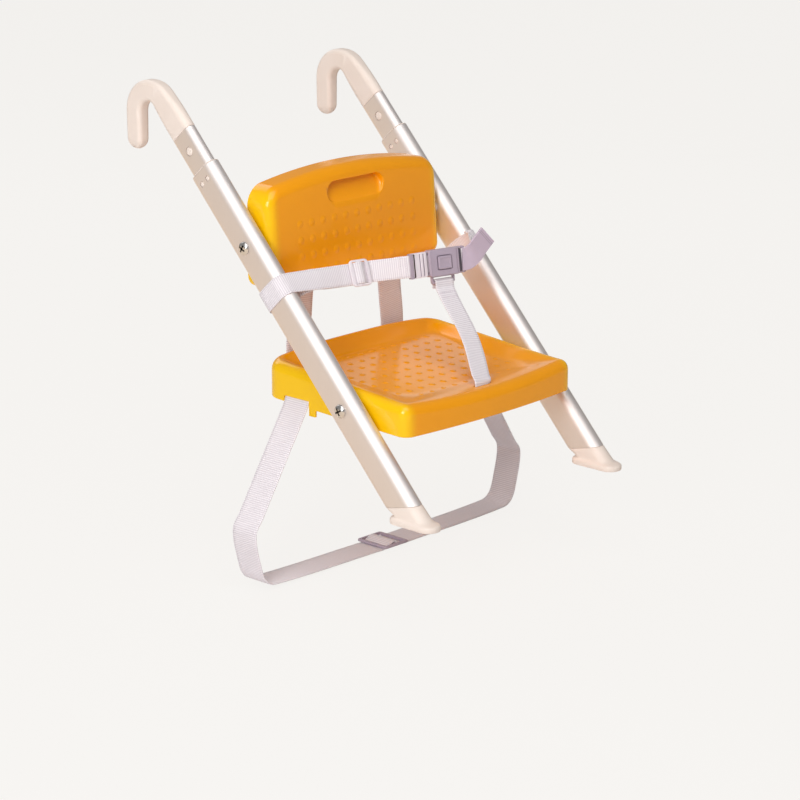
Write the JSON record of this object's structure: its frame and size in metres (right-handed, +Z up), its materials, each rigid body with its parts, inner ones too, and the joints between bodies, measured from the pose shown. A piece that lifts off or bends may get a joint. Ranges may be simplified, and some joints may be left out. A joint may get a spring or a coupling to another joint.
{
  "type": "folding booster seat that hooks over a chair back",
  "caption": "Child's booster seat on two sloping oval tubes that hook over a chair back, with folding seat and backrest shells, waist belt with buckle and anchor strap",
  "frame": {"origin": "midway between the two feet, on the plane of their soles", "axes": "+Z up, the sitter faces -Y, +X to the right when looking along +Y"},
  "size_m": [0.454, 0.4882, 0.5511],
  "materials": {
    "tube_aluminium": "satin anodised",
    "pale_plastic": "smooth moulded",
    "white_nylon": "natural nylon",
    "screw_chrome": "polished",
    "zinc_steel": "zinc plated",
    "webbing": "ribbed polyester webbing",
    "orange_plastic": "semi-gloss moulded",
    "buckle_plastic": "fine texture",
    "fitting_plastic": "smooth moulded"
  },
  "bodies": {
    "frame": {"left_outer_tube": "tube_aluminium", "left_foot": "pale_plastic", "left_guide_sleeve": "pale_plastic", "left_seat_washer": "white_nylon", "left_back_washer": "white_nylon", "left_seat_screw": "screw_chrome", "left_back_screw": "screw_chrome", "left_seat_spacer": "zinc_steel", "left_back_spacer": "zinc_steel", "left_seat_nut": "zinc_steel", "left_back_nut": "zinc_steel", "waist_belt_left": "webbing", "left_back_strap_upper": "webbing", "left_back_strap_lower": "webbing", "right_outer_tube": "tube_aluminium", "right_foot": "pale_plastic", "right_guide_sleeve": "pale_plastic", "right_seat_washer": "white_nylon", "right_back_washer": "white_nylon", "right_seat_screw": "screw_chrome", "right_back_screw": "screw_chrome", "right_seat_spacer": "zinc_steel", "right_back_spacer": "zinc_steel", "right_seat_nut": "zinc_steel", "right_back_nut": "zinc_steel", "waist_belt_right": "webbing", "right_back_strap_upper": "webbing", "right_back_strap_lower": "webbing", "crotch_strap": "webbing", "anchor_strap": "webbing", "buckle_body": "buckle_plastic", "buckle_back": "buckle_plastic", "anchor_adjuster": "buckle_plastic", "buckle_tongue": "fitting_plastic", "belt_slider": "fitting_plastic"},
    "seat": {"seat_shell": "orange_plastic", "crotch_bar": "zinc_steel", "left_seat_bar": "zinc_steel", "right_seat_bar": "zinc_steel"},
    "backrest": {"backrest_shell": "orange_plastic", "left_back_bar": "zinc_steel", "right_back_bar": "zinc_steel"},
    "button": {"release_button": "buckle_plastic"},
    "left_hook_arm": {"left_inner_tube": "tube_aluminium", "left_inner_plug": "white_nylon", "left_hook": "pale_plastic", "left_hook_pin": "pale_plastic"},
    "right_hook_arm": {"right_inner_tube": "tube_aluminium", "right_inner_plug": "white_nylon", "right_hook": "pale_plastic", "right_hook_pin": "pale_plastic"}
  },
  "joints": [
    {"name": "seat_fold", "type": "hinge", "parent": "frame", "child": "seat", "pos_m": [0, 0.11321, 0.11336], "axis": [1, 0, 0], "range_deg": [0, 40], "deforming": ["crotch_strap", "left_back_strap_lower", "right_back_strap_lower", "anchor_strap", "waist_belt_left", "waist_belt_right"]},
    {"name": "back_fold", "type": "hinge", "parent": "frame", "child": "backrest", "pos_m": [0, 0.26393, 0.27499], "axis": [-1, 0, 0], "range_deg": [0, 39], "deforming": ["left_back_strap_upper", "right_back_strap_upper", "waist_belt_left", "waist_belt_right"]},
    {"name": "button_press", "type": "slide", "parent": "frame", "child": "button", "axis": [0.2382, 0.9556, -0.1736], "range_m": [0, 0.002], "stiffness_N_per_m": 900, "springref_m": -0.0005},
    {"name": "left_hook_slide", "type": "slide", "parent": "frame", "child": "left_hook_arm", "axis": [0, 0.682, 0.7314], "range_m": [-0.02, 0.028]},
    {"name": "right_hook_slide", "type": "slide", "parent": "frame", "child": "right_hook_arm", "axis": [0, 0.682, 0.7314], "range_m": [-0.02, 0.028]}
  ]
}
